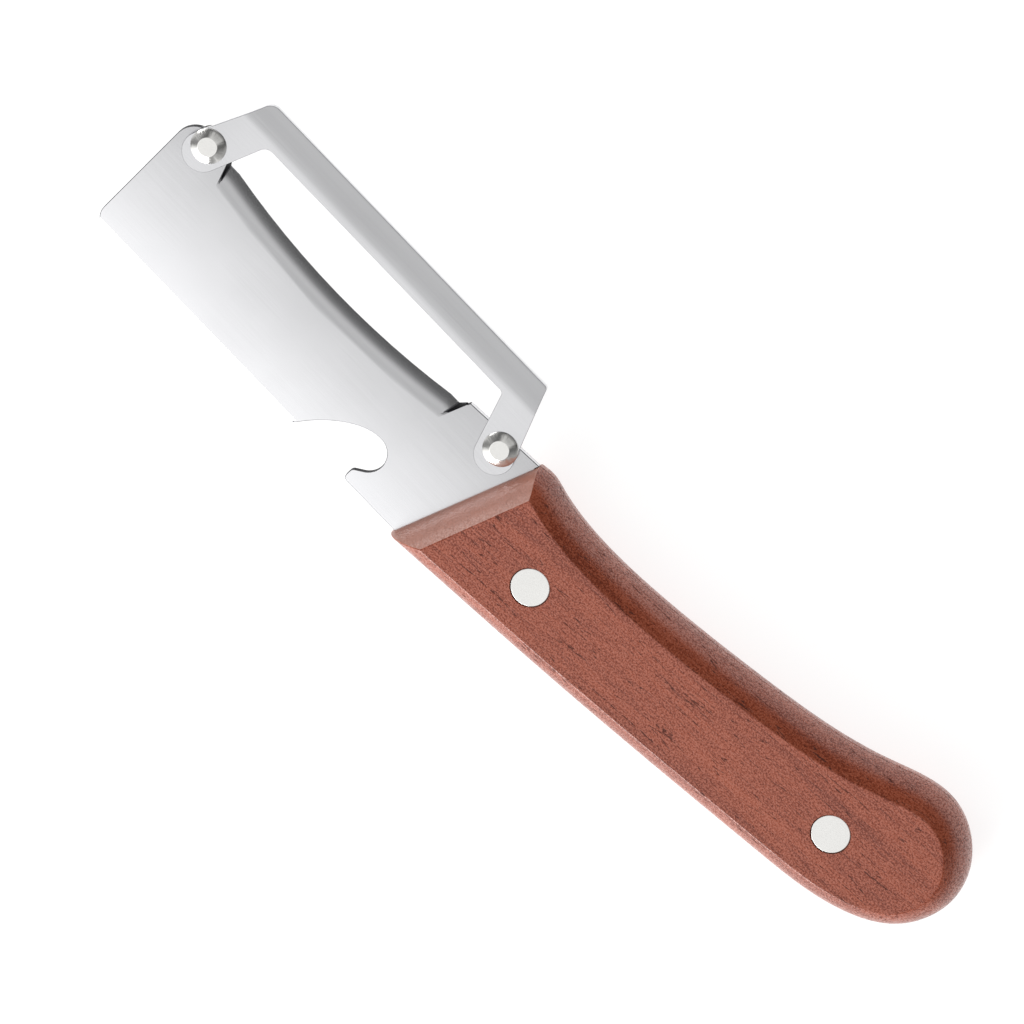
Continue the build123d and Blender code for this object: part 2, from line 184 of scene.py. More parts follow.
def settle(thing: bpy.types.Object, name: str, crease: float) -> bpy.types.Object:
    """Replaces an object and its modifiers by a plain mesh, shaded smooth between creases.

    Args:
        thing: the object with its modifiers.
        name: the name of the finished object.
        crease: edges sharper than this many degrees stay sharp.

    Returns:
        The finished object, its normals led by the larger faces.
    """
    view = bpy.context.evaluated_depsgraph_get()
    rough = bpy.data.meshes.new_from_object(thing.evaluated_get(view))
    bpy.data.objects.remove(thing)
    for face in rough.polygons:
        face.use_smooth = True
    rough.set_sharp_from_angle(angle=math.radians(crease))
    carrier = bpy.data.objects.new("carrier", rough)
    bpy.context.scene.collection.objects.link(carrier)
    weigh = carrier.modifiers.new("normals led by large faces", "WEIGHTED_NORMAL")
    weigh.mode = "FACE_AREA"
    weigh.weight = LARGE_FACE_WEIGHT
    weigh.keep_sharp = True
    view = bpy.context.evaluated_depsgraph_get()
    mesh = bpy.data.meshes.new_from_object(carrier.evaluated_get(view))
    bpy.data.objects.remove(carrier)
    done = bpy.data.objects.new(name, mesh)
    bpy.context.scene.collection.objects.link(done)
    return done


def cad_copy(node: str, name: str) -> bpy.types.Object:
    """Copies a CAD node as one merged mesh whose flat faces are whole.

    Args:
        node: the CAD node.
        name: the copy's name.

    Returns:
        The copy, with no material.
    """
    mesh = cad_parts[node].data.copy()
    mesh.materials.clear()
    mesh.name = name
    for layer in list(mesh.uv_layers):
        mesh.uv_layers.remove(layer)
    copy = bpy.data.objects.new(name, mesh)
    bpy.context.scene.collection.objects.link(copy)
    work = bmesh.new()
    work.from_mesh(mesh)
    bmesh.ops.remove_doubles(work, verts=work.verts, dist=CAD_MERGE * MM)
    bmesh.ops.dissolve_limit(
        work, angle_limit=math.radians(CAD_FLAT), verts=work.verts, edges=work.edges
    )
    work.to_mesh(mesh)
    work.free()
    if mesh.attributes.get("custom_normal"):
        mesh.attributes.remove(mesh.attributes["custom_normal"])
    return copy


def soften(
    thing: bpy.types.Object,
    width: float,
    limit: float,
    steps: int,
    edge_slot: int = 0,
    clamp: bool = True,
) -> None:
    """Rounds the edges of an object.

    Args:
        thing: the object.
        width: width of the rounding in millimetres.
        limit: only edges sharper than this many degrees are rounded.
        steps: faces across the rounding.
        edge_slot: number of the material that the rounding takes.
        clamp: keeps the rounding narrower than the shortest edge beside it.
    """
    bevel = thing.modifiers.new("edge rounding", "BEVEL")
    bevel.width = width * MM
    bevel.segments = steps
    bevel.limit_method = "ANGLE"
    bevel.angle_limit = math.radians(limit)
    bevel.harden_normals = False
    bevel.use_clamp_overlap = clamp
    bevel.miter_outer = "MITER_ARC"
    bevel.material = edge_slot


def hand_over(piece: bpy.types.Object, nodes: tuple[str, ...]) -> None:
    """Tells the frame what a finished piece stands for.

    Args:
        piece: the finished object.
        nodes: the CAD nodes it replaces.
    """
    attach(piece, "root")
    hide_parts(*nodes)
    log.info("%s stands for %s with %d faces", piece.name, ", ".join(nodes), len(piece.data.polygons))


@dataclass(frozen=True)
class RepeatInLine:
    """Geometry Nodes tree that repeats a piece in a straight line and dresses it."""

    name: str = "repeat in line"

    def make(self) -> bpy.types.NodeTree:
        """Builds the tree.

        Returns:
            The tree, with inputs Piece, Count, Step and Finish.
        """
        tree = bpy.data.node_groups.new(self.name, "GeometryNodeTree")
        for label, kind in (
            ("Piece", "NodeSocketGeometry"),
            ("Count", "NodeSocketInt"),
            ("Step", "NodeSocketVector"),
            ("Finish", "NodeSocketMaterial"),
        ):
            tree.interface.new_socket(label, in_out="INPUT", socket_type=kind)
        tree.interface.new_socket("Row", in_out="OUTPUT", socket_type="NodeSocketGeometry")
        given = tree.nodes.new("NodeGroupInput").outputs
        places = add_node(
            tree,
            "GeometryNodeMeshLine",
            {"mode": "OFFSET"},
            {"Count": given["Count"], "Offset": given["Step"]},
        ).outputs[0]
        row = add_node(
            tree, "GeometryNodeInstanceOnPoints", {}, {"Points": places, "Instance": given["Piece"]}
        ).outputs[0]
        solid = add_node(tree, "GeometryNodeRealizeInstances", {}, {"Geometry": row}).outputs[0]
        dressed = add_node(
            tree, "GeometryNodeSetMaterial", {}, {"Geometry": solid, "Material": given["Finish"]}
        ).outputs[0]
        add_node(tree, "NodeGroupOutput", {}, {"Row": dressed})
        return tree

    def apply(
        self,
        thing: bpy.types.Object,
        tree: bpy.types.NodeTree,
        count: int,
        step: tuple,
        finish: bpy.types.Material,
    ) -> None:
        """Puts the tree on an object as a modifier.

        Args:
            thing: the first piece of the row, in place.
            tree: the tree from make().
            count: how many pieces the row has.
            step: from one piece to the next, in millimetres.
            finish: the material of the row.
        """
        modifier = thing.modifiers.new(self.name, "NODES")
        modifier.node_group = tree
        inputs = [item for item in tree.interface.items_tree if item.in_out == "INPUT"]
        sockets = {item.name: item.identifier for item in inputs}
        modifier[sockets["Count"]] = count
        modifier[sockets["Step"]] = tuple(value * MM for value in step)
        modifier[sockets["Finish"]] = finish


# ---------------------------------------------------------------- finishes


@dataclass(frozen=True)
class StainedBeech:
    """Stained and lacquered beech-like hardwood: an even red-brown with short dark open pores.

    The grain runs along the grip, a few degrees off the blade's line. The lacquer is thin and satin,
    so that the pores still break the shine. The faces that look toward the tip are painted paler, as
    painted light.
    """

    light: str = "ba5e3f"
    middle: str = "a64c2c"
    dark: str = "823215"
    pore: str = "481608"
    # painted light: the paler colour given to the faces that look toward the tip
    painted_front_light: str = "cf9684"
    grain_turn: float = 5.5  # degrees from +X
    fibre_length: float = 7.0  # millimetres
    fibre_width: float = 0.35
    speck: float = 0.42  # drawn coarser than the real cells, which are too fine to show
    pore_length: float = 1.8
    pore_width: float = 0.25
    pore_spacing: float = 2.0
    speck_height: float = 0.07
    speck_share: float = 0.7  # of specks against fibres
    fine_share: float = 0.75  # of specks and fibres against the broad bands
    band_length: float = 60.0
    band_width: float = 5.0
    vein_lengths: float = 16.0  # a row of pores is this many pores long
    front_light_share: float = 0.7  # share of the painted light's paler colour on the faces that look toward the tip
    roughness: float = 0.38
    roughness_spread: float = 0.16
    pore_roughness: float = 0.5  # added where a pore is open
    coat_roughness: float = 0.25

    def make(self) -> bpy.types.Material:
        """Builds the wood.

        Returns:
            The material.
        """
        material, tree = new_material("stained lacquered beech")
        place = add_node(tree, "ShaderNodeTexCoord", {}, {}).outputs["Object"]
        turn = (0.0, 0.0, -math.radians(self.grain_turn))
        along = add_node(
            tree,
            "ShaderNodeMapping",
            {"vector_type": "POINT"},
            {"Vector": place, "Rotation": turn},
        ).outputs[0]

        def stretched(length: float, width: float, detail: float, rough: float) -> bpy.types.NodeSocket:
            """Noise drawn out along the grain.

            Args:
                length: size along the grain in millimetres.
                width: size across the grain in millimetres.
                detail: octaves of the noise.
                rough: strength of the finer octaves.

            Returns:
                The noise value.
            """
            scaled = add_node(
                tree,
                "ShaderNodeVectorMath",
                {"operation": "MULTIPLY"},
                {0: along, 1: (1 / (length * MM), 1 / (width * MM), 1 / (width * MM))},
            ).outputs[0]
            return add_node(
                tree,
                "ShaderNodeTexNoise",
                {"noise_dimensions": "3D"},
                {"Vector": scaled, "Scale": 1.0, "Detail": detail, "Roughness": rough},
            ).outputs["Fac"]

        bands = stretched(self.band_length, self.band_width, 3.0, 0.5)
        fibres = stretched(self.fibre_length, self.fibre_width, 2.0, 0.6)
        specks = stretched(self.speck, self.speck, 1.0, 0.5)
        veins = stretched(self.pore_length * self.vein_lengths, self.pore_spacing, 1.0, 0.4)
        dashes = stretched(self.pore_length, self.pore_width * 2, 1.0, 0.5)
        fine = add_node(
            tree,
            "ShaderNodeMix",
            {"data_type": "FLOAT"},
            {0: self.speck_share, 2: fibres, 3: specks},
        ).outputs[0]
        blend = add_node(
            tree, "ShaderNodeMix", {"data_type": "FLOAT"}, {0: self.fine_share, 2: bands, 3: fine}
        ).outputs[0]
        body = ramp(
            tree,
            blend,
            [(0.41, linear(self.dark)), (0.5, linear(self.middle)), (0.59, linear(self.light))],
        )
        off_vein = add_node(
            tree, "ShaderNodeMath", {"operation": "SUBTRACT"}, {0: veins, 1: 0.5}
        ).outputs[0]
        beside = add_node(tree, "ShaderNodeMath", {"operation": "ABSOLUTE"}, {0: off_vein}).outputs[0]
        on_vein = ramp(tree, beside, [(0.003, grey(1.0)), (0.013, grey(0.0))])
        on_dash = ramp(tree, dashes, [(0.46, grey(0.0)), (0.52, grey(0.85))])
        open_pore = add_node(
            tree, "ShaderNodeMath", {"operation": "MULTIPLY"}, {0: on_vein, 1: on_dash}
        ).outputs[0]
        colour = add_node(
            tree,
            "ShaderNodeMix",
            {"data_type": "RGBA"},
            {0: open_pore, 6: body, 7: linear(self.pore)},
        ).outputs[2]
        # Painted light: faces that look toward the tip are mixed toward a paler colour, standing in for
        # the light from that side.
        outward = add_node(tree, "ShaderNodeNewGeometry", {}, {}).outputs["Normal"]
        forward = add_node(tree, "ShaderNodeSeparateXYZ", {}, {0: outward}).outputs["X"]
        front = ramp(tree, forward, [(0.4, grey(0.0)), (0.6, grey(self.front_light_share))])
        colour = add_node(
            tree,
            "ShaderNodeMix",
            {"data_type": "RGBA"},
            {0: front, 6: colour, 7: linear(self.painted_front_light)},
        ).outputs[2]
        dull = add_node(
            tree,
            "ShaderNodeMath",
            {"operation": "MULTIPLY_ADD"},
            {0: fibres, 1: self.roughness_spread, 2: self.roughness - self.roughness_spread / 2},
        ).outputs[0]
        dull = add_node(
            tree,
            "ShaderNodeMath",
            {"operation": "MULTIPLY_ADD"},
            {0: open_pore, 1: self.pore_roughness, 2: dull},
        ).outputs[0]
        relief = add_node(
            tree, "ShaderNodeMath", {"operation": "MULTIPLY_ADD"}, {0: open_pore, 1: -0.8, 2: fibres}
        ).outputs[0]
        bump = add_node(
            tree,
            "ShaderNodeBump",
            {},
            {"Strength": 0.25, "Distance": 0.05 * MM, "Height": relief},
        ).outputs[0]
        bump = add_node(
            tree,
            "ShaderNodeBump",
            {},
            {"Strength": 1.0, "Distance": self.speck_height * MM, "Height": specks, "Normal": bump},
        ).outputs[0]
        glints = ramp(tree, specks, [(0.38, grey(0.05)), (0.62, grey(1.0))])
        closed = add_node(
            tree, "ShaderNodeMath", {"operation": "SUBTRACT"}, {0: 1.0, 1: open_pore}
        ).outputs[0]
        sheen = add_node(
            tree, "ShaderNodeMath", {"operation": "MULTIPLY"}, {0: glints, 1: closed}
        ).outputs[0]
        shader = add_node(
            tree,
            "ShaderNodeBsdfPrincipled",
            {},
            {"Base Color": colour, "Roughness": dull, "Normal": bump, "IOR": 1.5, "Coat Weight": sheen},
        )
        shader.inputs["Coat Roughness"].default_value = self.coat_roughness
        close_material(tree, shader)
        return material


@dataclass(frozen=True)
class RolledSteel:
    """Stainless sheet with a fine satin finish, ground along the blade; steep walls across it can be
    painted near-black as shade.
    """

    colour: str = "e6e6e8"
    roughness: float = 0.24
    line_length: float = 30.0  # millimetres
    line_width: float = 0.25
    line_depth: float = 0.1
    crown_middle: float = 0.0  # Y in millimetres of the highest line of a slight crown along the sheet
    crown: float = 0.0  # fall of the crown per square millimetre
    shade_wall_tilt: float = 0.0  # walls across the sheet with more X than this in their normal are painted near-black, as painted shade
    shade_wall_blend: float = 0.15
    painted_wall_shade: str = "1c1c1e"
    shade_wall_roughness: float = 0.5
    roughness_spread: float = 0.14
    worn_tone: float = 0.94  # darkest share of the colour, in soft clouds
    cloud_scale: float = 60.0
    name: str = "satin stainless sheet"

    def make(self) -> bpy.types.Material:
        """Builds the steel.

        Returns:
            The material.
        """
        material, tree = new_material(self.name)
        place = add_node(tree, "ShaderNodeTexCoord", {}, {}).outputs["Object"]
        across_lines = 1 / (self.line_width * MM)
        scaled = add_node(
            tree,
            "ShaderNodeVectorMath",
            {"operation": "MULTIPLY"},
            {0: place, 1: (1 / (self.line_length * MM), across_lines, across_lines)},
        ).outputs[0]
        lines = add_node(
            tree,
            "ShaderNodeTexNoise",
            {},
            {"Vector": scaled, "Scale": 1.0, "Detail": 3.0, "Roughness": 0.6},
        ).outputs["Fac"]
        clouds = add_node(
            tree,
            "ShaderNodeTexNoise",
            {},
            {"Vector": place, "Scale": self.cloud_scale, "Detail": 3.0, "Roughness": 0.5},
        ).outputs["Fac"]
        mix = add_node(
            tree, "ShaderNodeMix", {"data_type": "FLOAT"}, {0: 0.5, 2: lines, 3: clouds}
        ).outputs[0]
        dull = add_node(
            tree,
            "ShaderNodeMath",
            {"operation": "MULTIPLY_ADD"},
            {0: mix, 1: self.roughness_spread, 2: self.roughness - self.roughness_spread / 2},
        ).outputs[0]
        tone = linear(self.colour)
        shade = ramp(
            tree,
            mix,
            [(0.35, tuple(c * self.worn_tone for c in tone[:3]) + (1.0,)), (0.65, tone)],
        )
        bump = add_node(
            tree,
            "ShaderNodeBump",
            {},
            {"Strength": self.line_depth, "Distance": 0.01 * MM, "Height": lines},
        ).outputs[0]
        # Painted shade: steep walls across the sheet, such as the ends of the bent peeling edge, are
        # painted near-black and duller.
        if self.shade_wall_tilt:
            side = add_node(tree, "ShaderNodeNewGeometry", {}, {}).outputs["Normal"]
            lean = add_node(tree, "ShaderNodeSeparateXYZ", {}, {0: side}).outputs["X"]
            steep = add_node(tree, "ShaderNodeMath", {"operation": "ABSOLUTE"}, {0: lean}).outputs[0]
            wall = ramp(
                tree,
                steep,
                [
                    (self.shade_wall_tilt - self.shade_wall_blend, grey(0.0)),
                    (self.shade_wall_tilt + self.shade_wall_blend, grey(1.0)),
                ],
            )
            shade = add_node(
                tree,
                "ShaderNodeMix",
                {"data_type": "RGBA"},
                {0: wall, 6: shade, 7: linear(self.painted_wall_shade)},
            ).outputs[2]
            dull = add_node(
                tree,
                "ShaderNodeMix",
                {"data_type": "FLOAT"},
                {0: wall, 2: dull, 3: self.shade_wall_roughness},
            ).outputs[0]
        if self.crown:
            across = add_node(tree, "ShaderNodeSeparateXYZ", {}, {0: place}).outputs["Y"]
            off = add_node(
                tree,
                "ShaderNodeMath",
                {"operation": "MULTIPLY_ADD"},
                {0: across, 1: 1 / MM, 2: -self.crown_middle},
            ).outputs[0]
            fall = add_node(
                tree, "ShaderNodeMath", {"operation": "MULTIPLY"}, {0: off, 1: off}
            ).outputs[0]
            bump = add_node(
                tree,
                "ShaderNodeBump",
                {"invert": True},
                {"Strength": 1.0, "Distance": self.crown * MM, "Height": fall, "Normal": bump},
            ).outputs[0]
        shader = add_node(
            tree,
            "ShaderNodeBsdfPrincipled",
            {},
            {"Base Color": shade, "Roughness": dull, "Normal": bump, "Metallic": 1.0},
        )
        close_material(tree, shader)
        return material


@dataclass(frozen=True)
class ShearedEdgeWithShade:
    """Edge of punched sheet: duller than the rolled faces, with fine marks across it, and painted dark
    as shade.
    """

    # painted shade: the edges' colour is kept dark so that they show as dark outlines
    colour: str = "5c5c5f"
    roughness: float = 0.45
    roughness_spread: float = 0.2
    mark: float = 0.3  # millimetres

    def make(self) -> bpy.types.Material:
        """Builds the edge.

        Returns:
            The material.
        """
        material, tree = new_material("sheared steel edge with painted shade")
        place = add_node(tree, "ShaderNodeTexCoord", {}, {}).outputs["Object"]
        marks = add_node(
            tree,
            "ShaderNodeTexNoise",
            {},
            {"Vector": place, "Scale": 1 / (self.mark * MM), "Detail": 2.0, "Roughness": 0.5},
        ).outputs["Fac"]
        dull = add_node(
            tree,
            "ShaderNodeMath",
            {"operation": "MULTIPLY_ADD"},
            {0: marks, 1: self.roughness_spread, 2: self.roughness - self.roughness_spread / 2},
        ).outputs[0]
        bump = add_node(
            tree, "ShaderNodeBump", {}, {"Strength": 0.2, "Distance": 0.02 * MM, "Height": marks}
        ).outputs[0]
        shader = add_node(
            tree,
            "ShaderNodeBsdfPrincipled",
            {},
            {"Base Color": linear(self.colour), "Roughness": dull, "Normal": bump, "Metallic": 1.0},
        )
        close_material(tree, shader)
        return material


@dataclass(frozen=True)
class PaleFloor:
    """Matt white board under the knife."""

    colour: str = "9c9c9c"
    roughness: float = 0.9
    glow: float = 0.86

    def make(self) -> bpy.types.Material:
        """Builds the board.

        Returns:
            The material.
        """
        material, tree = new_material("white board")
        shader = add_node(
            tree,
            "ShaderNodeBsdfPrincipled",
            {},
            {
                "Base Color": linear(self.colour),
                "Roughness": self.roughness,
                "Emission Color": grey(1.0),
            },
        )
        shader.inputs["Emission Strength"].default_value = self.glow
        close_material(tree, shader)
        return material


# ---------------------------------------------------------------- handle


class Side(Enum):
    """Which of the two wooden scales: the one above the plate or the one below it."""

    UPPER = 1
    LOWER = -1


def clamped_spline(points: list, start: tuple, end: tuple, count: int) -> np.ndarray:
    """Points along a smooth curve through the given points.

    Args:
        points: (x, y) in millimetres.
        start: direction at the first point.
        end: direction at the last point.
        count: how many points to return, evenly spaced along the curve.

    Returns:
        One row of x, y for each point.
    """
    knots = np.array(points, float)
    gaps = np.linalg.norm(np.diff(knots, axis=0), axis=1)
    slopes = np.diff(knots, axis=0) / gaps[:, None]
    size = len(knots)
    system = np.zeros((size, size))
    right = np.zeros((size, 2))
    system[0, 0] = system[-1, -1] = 1.0
    right[0] = np.array(start) / np.linalg.norm(start)
    right[-1] = np.array(end) / np.linalg.norm(end)
    for i in range(1, size - 1):
        system[i, i - 1] = gaps[i]
        system[i, i] = 2 * (gaps[i - 1] + gaps[i])
        system[i, i + 1] = gaps[i - 1]
        right[i] = 3 * (gaps[i] * slopes[i - 1] + gaps[i - 1] * slopes[i])
    ways = np.linalg.solve(system, right)
    fine = []
    for i in range(size - 1):
        t = np.linspace(0, 1, SPAN_POINTS, endpoint=i == size - 2)[:, None]
        fine.append(
            (2 * t**3 - 3 * t**2 + 1) * knots[i]
            + (t**3 - 2 * t**2 + t) * gaps[i] * ways[i]
            + (3 * t**2 - 2 * t**3) * knots[i + 1]
            + (t**3 - t**2) * gaps[i] * ways[i + 1]
        )
    curve = np.vstack(fine)
    along = np.concatenate([[0], np.cumsum(np.linalg.norm(np.diff(curve, axis=0), axis=1))])
    even = np.linspace(0, along[-1], count)
    return np.column_stack([np.interp(even, along, curve[:, k]) for k in (0, 1)])


@dataclass
class WoodenHandle:
    """The handle: two scales with round sides, an arris round each flat and crisp front corners."""

    length: float = 148.6
    width: float = 34.0
    thickness: float = 18.0
    inset: float = 4.9
    slope: float = 7.2
    lean: float = 17.4
    rivet_spacing: float = 87.6
    front_setback: float = 30.0
    belly_front: tuple = (1.0, 0.435)
    belly_nodes: tuple = ((0.64, 0.497), (0.26, 0.515), (0.1, 0.452), (0.028, 0.272))
    butt_node: tuple = (0.0, -0.061)
    spine_nodes: tuple = (
        (0.028, -0.4),
        (0.112, -0.643),
        (0.23, -0.563),
        (0.447, -0.444),
        (0.663, -0.434),
        (0.797, -0.494),
        (0.865, -0.578),
        (0.897, -0.622),
    )
    spine_front: float = -0.622
    belly_way: tuple = (-1.0, -0.084)
    spine_way: tuple = (1.0, 0.12)
    corner_round: float = 0.3
    arris_round: float = 0.2
    ease: float = 0.03  # the outline is kept this far inside the CAD model's
    joint_width: float = 0.2
    joint_depth: float = 0.3
    seat_radius: float = 4.75
    seat_depth: float = 1.75
    flat_margin: float = 0.6  # width of the flat's outermost faces
    merge: float = 0.0005
    crease: float = 26.0  # degrees
    curve_points: int = 1200
    side_points: int = 150
    edge_points: int = 12
    turn_points: int = 14
    seat_points: int = 128
    wood: StainedBeech = field(default_factory=StainedBeech)

    def node(self, station: float, share: float) -> tuple[float, float]:
        """A point of the outline.

        Args:
            station: share of the length from the butt.
            share: share of the width from the rivet line.

        Returns:
            x and y in millimetres.
        """
        x = self.rivet_spacing / 2 + self.front_setback - self.length * (1 - station)
        return (x, x * math.tan(math.radians(self.slope)) + share * self.width)

    def corners(self) -> tuple[np.ndarray, np.ndarray]:
        """The front corners at mid-thickness.

        Returns:
            The belly corner and the spine corner.
        """
        belly = np.array(self.node(*self.belly_front))
        lean = math.radians(self.lean)
        way = np.array([math.sin(lean), math.cos(lean)])
        drop = (self.belly_front[1] - self.spine_front) * self.width
        reach = drop / (way[1] - way[0] * math.tan(math.radians(self.slope)))
        return belly, belly - way * reach

    def profile(self) -> list[tuple[float, float]]:
        """The side of one scale from mid-thickness to its flat.

        Returns:
            (inset, height above mid-thickness) in millimetres.
        """
        half = self.thickness / 2
        radius = (half**2 + self.inset**2) / (2 * self.inset)
        last = math.asin(half / radius)
        cut = self.arris_round / radius
        first = self.joint_width / 2 / radius
        rows = [(self.joint_depth, 0.0), (self.joint_depth, self.joint_width / 4)]
        turns = np.linspace(first, last - cut, self.turn_points)
        rows += [(radius * (1 - math.cos(t)), radius * math.sin(t)) for t in turns]
        start = np.array(rows[-1])
        crease = np.array([self.inset, half])
        end = np.array([self.inset + self.arris_round, half])
        for t in (0.2, 0.4, 0.6, 0.8, 1.0):
            rows.append(tuple((1 - t) ** 2 * start + 2 * t * (1 - t) * crease + t * t * end))
        rows.append((self.inset + self.arris_round + self.flat_margin, half))
        return rows

    def ring(self, inset: float) -> np.ndarray:
        """The outline moved in by an inset, with rounded front corners.

        Args:
            inset: millimetres inside the outline at mid-thickness.

        Returns:
            The points, anticlockwise from the belly's front.
        """
        belly_corner, spine_corner = self.corners()
        butt = self.node(*self.butt_node)
        at_butt = (0, -1)
        belly_knots = [belly_corner, *[self.node(*n) for n in self.belly_nodes], butt]
        spine_knots = [butt, *[self.node(*n) for n in self.spine_nodes], spine_corner]
        belly = clamped_spline(belly_knots, self.belly_way, at_butt, self.curve_points)
        spine = clamped_spline(spine_knots, at_butt, self.spine_way, self.curve_points)

        def inner(curve: np.ndarray, skip_start: float, skip_end: float, count: int) -> np.ndarray:
            """The curve moved in, between two lengths left out at its ends.

            Args:
                curve: points of the long edge.
                skip_start: length left out at its start.
                skip_end: length left out at its end.
                count: how many points to return.

            Returns:
                The points moved in.
            """
            along = np.concatenate([[0], np.cumsum(np.linalg.norm(np.diff(curve, axis=0), axis=1))])
            way = np.gradient(curve, axis=0)
            way /= np.linalg.norm(way, axis=1)[:, None]
            moved = curve + np.column_stack([-way[:, 1], way[:, 0]]) * (inset + self.ease)
            even = np.linspace(skip_start, along[-1] - skip_end, count)
            return np.column_stack([np.interp(even, along, moved[:, k]) for k in (0, 1)])

        front = belly_corner - spine_corner
        front /= np.linalg.norm(front)

        def half_angle(way: tuple) -> float:
            """Half the angle between the front edge and a long edge that leaves in that direction."""
            unit = np.array(way) / np.linalg.norm(way)
            return math.acos(float(np.dot(-front, unit))) / 2

        belly_half = half_angle(self.belly_way)
        leaving = np.array(self.spine_way) / np.linalg.norm(self.spine_way)
        spine_half = (math.pi - math.acos(float(np.dot(front, leaving)))) / 2
        belly_cut = self.corner_round / math.tan(belly_half)
        spine_cut = self.corner_round / math.tan(spine_half)
        long_belly = inner(belly, inset / math.tan(belly_half), 0.0, 2)
        long_spine = inner(spine, 0.0, inset / math.tan(spine_half), 2)
        belly_tip, spine_tip = long_belly[0], long_spine[1]
        belly_side = inner(belly, inset / math.tan(belly_half) + belly_cut, 0.0, self.side_points)
        spine_side = inner(spine, 0.0, inset / math.tan(spine_half) + spine_cut, self.side_points)
        line = belly_tip - spine_tip
        line /= np.linalg.norm(line)
        low, high = spine_tip + line * spine_cut, belly_tip - line * belly_cut
        bend = np.linspace(0, 1, 7)[1:-1, None]
        spine_arc = (1 - bend) ** 2 * spine_side[-1] + 2 * bend * (1 - bend) * spine_tip + bend**2 * low
        belly_arc = (1 - bend) ** 2 * high + 2 * bend * (1 - bend) * belly_tip + bend**2 * belly_side[0]
        edge = low + (high - low) * np.linspace(0, 1, self.edge_points)[:, None]
        return np.vstack([belly_side, spine_side[1:], spine_arc, edge, belly_arc])

    def scale(self, side: Side) -> bpy.types.Object:
        """Builds one scale.

        Args:
            side: above or below the plate.

        Returns:
            The finished object.
        """
        mid = self.thickness / 2
        rows = []
        for inset, height in self.profile():
            ring = self.ring(inset)
            rows.append(np.column_stack([ring, np.full(len(ring), mid + side.value * height)]))
        count = len(rows[0])
        faces = []
        for level in range(len(rows) - 1):
            low, high = level * count, (level + 1) * count
            for i in range(count):
                j = (i + 1) % count
                faces.append([low + i, low + j, high + j, high + i])
        faces.append(list(range(count))[::-1])
        faces.append([(len(rows) - 1) * count + i for i in range(count)])
        rough = mesh_object("rough scale", np.vstack(rows), faces)
        face_outwards(rough, self.merge)
        cutters = self.cutters(side)
        for cutter in cutters:
            cut = rough.modifiers.new("seat", "BOOLEAN")
            cut.operation = "DIFFERENCE"
            cut.solver = "EXACT"
            cut.object = cutter
        done = settle(rough, f"{side.name.lower()}_scale_wood", self.crease)
        for cutter in cutters:
            bpy.data.objects.remove(cutter)
        return done

    def cutters(self, side: Side) -> list[bpy.types.Object]:
        """Solids that cut the rivet seats.

        Args:
            side: above or below the plate.

        Returns:
            The cutters.
        """
        mid = self.thickness / 2
        outer = mid + side.value * mid
        made = []
        for sign in (-1, 1):
            x = sign * self.rivet_spacing / 2
            bpy.ops.mesh.primitive_cylinder_add(
                vertices=self.seat_points,
                radius=self.seat_radius * MM,
                depth=2 * self.seat_depth * MM,
                location=(x * MM, x * math.tan(math.radians(self.slope)) * MM, outer * MM),
            )
            made.append(bpy.context.object)
        for cutter in made:
            cutter.hide_render = True
        return made

    def build(self) -> None:
        """Builds, dresses and hands over both scales."""
        material = self.wood.make()
        for side, node in ((Side.UPPER, "handle_scale_upper"), (Side.LOWER, "handle_scale_lower")):
            scale = self.scale(side)
            scale.data.materials.append(material)
            hand_over(scale, (node,))


# ---------------------------------------------------------------- steel


@dataclass
class BladePlate:
    """The plate with its ground cutting edge, opener notch and bent peeling edge."""

    edge_round: float = 0.14
    edge_limit: float = 35.0  # degrees
    edge_steps: int = 2
    crease: float = 13.0
    # the steep end walls of the bent edge get painted shade
    steel: RolledSteel = field(
        default_factory=lambda: RolledSteel(crown_middle=5.0, crown=0.0018, shade_wall_tilt=0.4)
    )
    edge: ShearedEdgeWithShade = field(default_factory=ShearedEdgeWithShade)

    def build(self) -> None:
        """Builds, dresses and hands over the plate."""
        rough = cad_copy("blade", "rough blade")
        rough.data.materials.append(self.steel.make())
        rough.data.materials.append(self.edge.make())
        soften(rough, self.edge_round, self.edge_limit, self.edge_steps, edge_slot=1, clamp=False)
        blade = settle(rough, "blade_plate", self.crease)
        hand_over(blade, ("blade",))


@dataclass
class PeelerGuard:
    """The bar on two legs that stands over the peeling edge."""

    edge_round: float = 0.25
    edge_limit: float = 35.0  # degrees
    edge_steps: int = 3
    crease: float = 20.0
    steel: RolledSteel = field(default_factory=lambda: RolledSteel(name="satin stainless strip"))
    edge: ShearedEdgeWithShade = field(default_factory=ShearedEdgeWithShade)

    def build(self) -> None:
        """Builds, dresses and hands over the guard."""
        rough = cad_copy("peeler_guard", "rough guard")
        rough.data.materials.append(self.steel.make())
        rough.data.materials.append(self.edge.make())
        soften(rough, self.edge_round, self.edge_limit, self.edge_steps, edge_slot=1)
        guard = settle(rough, "guard_bar", self.crease)
        hand_over(guard, ("peeler_guard",))


